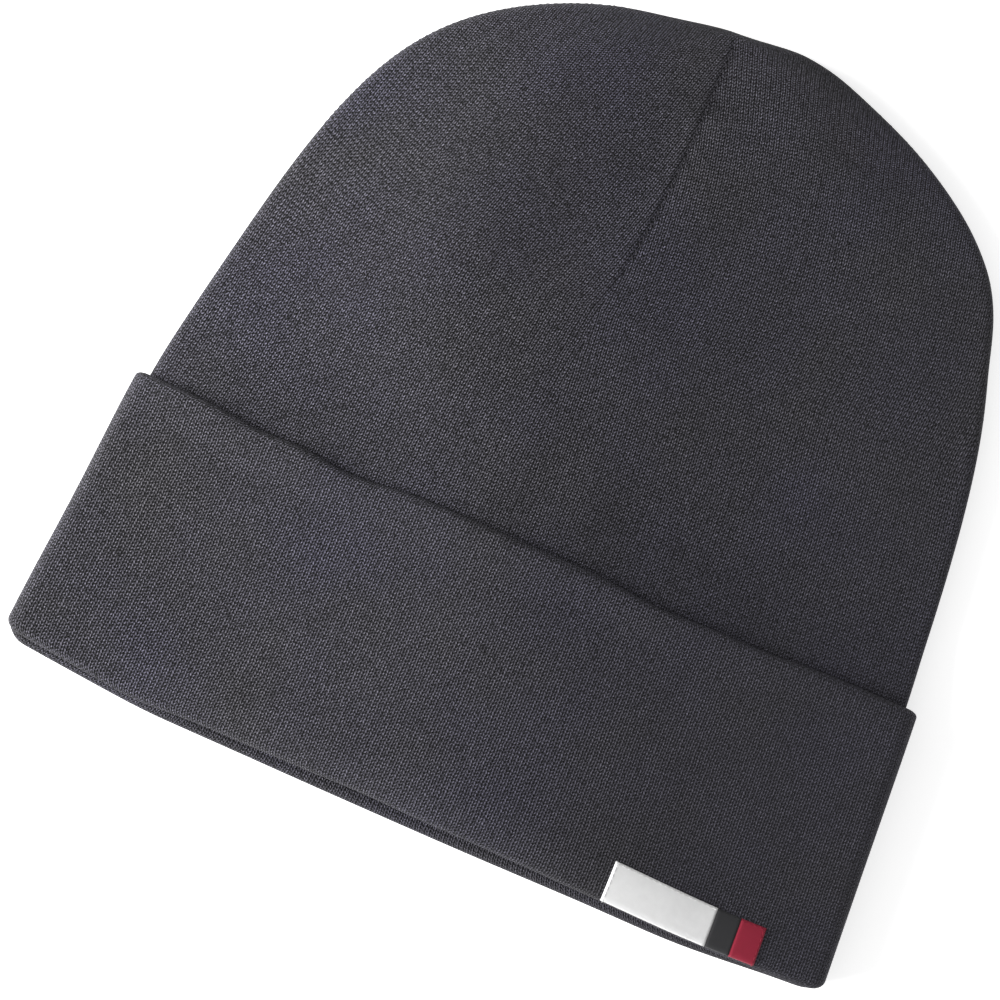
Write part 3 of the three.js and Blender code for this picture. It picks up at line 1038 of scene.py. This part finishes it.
def tape_material(name, colour, roughness):
    """Woven tape: fine warp and weft threads, each a little rounded."""
    material, tree = bare_material(name)
    place = put(tree, "ShaderNodeTexCoord").outputs["Object"]
    cloth = parts_of(tree, put(tree, "ShaderNodeUVMap", uv_map="cloth").outputs["UV"])
    warp = calc(tree, "SINE", calc(tree, "MULTIPLY", cloth["X"], 2 * math.pi / warp_pitch))
    weft = calc(tree, "SINE", calc(tree, "MULTIPLY", cloth["Y"], 2 * math.pi / weft_pitch))
    height = calc(tree, "MULTIPLY_ADD", calc(tree, "MULTIPLY", warp, weft), 0.5, 0.5)
    # Painted highlight on the threads' crests and painted shade between them.
    tone = calc(tree, "MULTIPLY_ADD", height, *weave_shade)
    tone = calc(tree, "MULTIPLY", tone, varied(tree, place, *tape_mottle))
    fabric_shader(tree, shaded(tree, colour, tone), height, weave_height, roughness=roughness, sheen=0.05)
    return material


def sewing_path(start, end):
    """A seam just inside a field's upper edge and, where the label ends, down its side."""
    top = label_above - sewing_inset
    low = sewing_inset - label_below
    at_left_end = start == fields["label_white"]["from"]
    at_right_end = end == fields["label_red"]["to"]
    first = start + (sewing_inset if at_left_end else sewing_length / 2)
    last = end - (sewing_inset if at_right_end else sewing_length / 2)
    corners = [(first, top), (last, top)]
    if at_left_end:
        corners.insert(0, (first, low))
    if at_right_end:
        corners.append((last, low))
    x, above = [], []
    for (x0, above0), (x1, above1) in zip(corners[:-1], corners[1:]):
        steps = round(max(abs(x1 - x0), abs(above1 - above0)) / sewing_step)
        x.append(np.linspace(x0, x1, steps, endpoint=False))
        above.append(np.linspace(above0, above1, steps, endpoint=False))
    x = np.append(np.concatenate(x), corners[-1][0])
    above = np.append(np.concatenate(above), corners[-1][1])
    surface = label_gap + label_thickness
    on_tape = label_point(x, above, surface + sewing_height)
    return on_tape, label_point(x, above, surface + 1) - on_tape


label_pieces = []
for node, field in fields.items():
    tape = field_mesh(node + "_tape", field["from"], field["to"])
    tape.data.materials.append(tape_material(node + "_tape", field["colour"], field["roughness"]))
    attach(tape, "root")
    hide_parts(node)
    sewing = sewn_rows(
        node + "_sewing",
        [sewing_path(field["from"], field["to"])],
        pitch=sewing_pitch,
        length=sewing_length,
        radius=sewing_radius,
        lean=0.0,
        unevenness=0.05,
        seed=7,
        thread=thread_material(node + "_thread", field["colour"], field["roughness"]),
    )
    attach(sewing, "root")
    label_pieces += [tape, sewing]

# Studio. A pale table, one large soft light from the cap's left and rim, and a pale surround. The camera
# looks straight down with a long lens, turned as the photo is.

turned = math.radians(24.5)
view_centre = Vector((-11.8 * mm, -24.2 * mm, 0.012))
view_width = 0.255
camera_distance = 1.6

floor_half = 4.0
floor_height = -0.2 * mm
floor_corners = [
    (x * floor_half, y * floor_half, floor_height) for x, y in ((-1, -1), (1, -1), (1, 1), (-1, 1))]
floor_mesh = bpy.data.meshes.new("table")
floor_mesh.from_pydata(floor_corners, [], [(0, 1, 2, 3)])
floor = placed("table", floor_mesh)
floor_material, floor_tree = bare_material("pale_table")
floor_shader = put(floor_tree, "ShaderNodeBsdfPrincipled", {
    "Base Color": (0.93, 0.93, 0.93, 1),
    "Emission Color": (1, 1, 1, 1),
    "Emission Strength": 0.58,
    "Roughness": 0.9,
    "Specular IOR Level": 0.0,
})
put(floor_tree, "ShaderNodeOutputMaterial", {"Surface": floor_shader.outputs["BSDF"]})
floor.data.materials.append(floor_material)


def soft_light(name, direction, elevation, distance, size, power):
    """A square area light that faces the cap and that the camera doesn't see."""
    light = bpy.data.lights.new(name, "AREA")
    light.shape = "SQUARE"
    light.size = size
    light.energy = power
    lamp = placed(name, light)
    height = math.radians(elevation)
    offset = direction.normalized() * math.cos(height) + Vector((0, 0, math.sin(height)))
    lamp.location = view_centre + offset * distance
    lamp.rotation_euler = offset.to_track_quat("Z", "Y").to_euler()
    lamp.visible_camera = False


key_azimuth = math.radians(20)  # from the cap's left, towards its rim
key_direction = Vector((-math.cos(key_azimuth), -math.sin(key_azimuth), 0))
soft_light("key_light", key_direction, elevation=25, distance=1.5, size=1.2, power=64)

world = bpy.data.worlds.new("surround")
world.use_nodes = True
background = world.node_tree.nodes["Background"]
background.inputs["Color"].default_value = (1, 1, 1, 1)
background.inputs["Strength"].default_value = 0.50
bpy.context.scene.world = world
bpy.context.scene.view_settings.view_transform = "Standard"

lens = bpy.data.cameras.new("camera")
lens.sensor_width = 36
lens.lens = lens.sensor_width * camera_distance / view_width
camera = placed("camera", lens)
camera.location = view_centre + Vector((0, 0, camera_distance))
camera.rotation_euler = (0, 0, turned)
bpy.context.scene.camera = camera
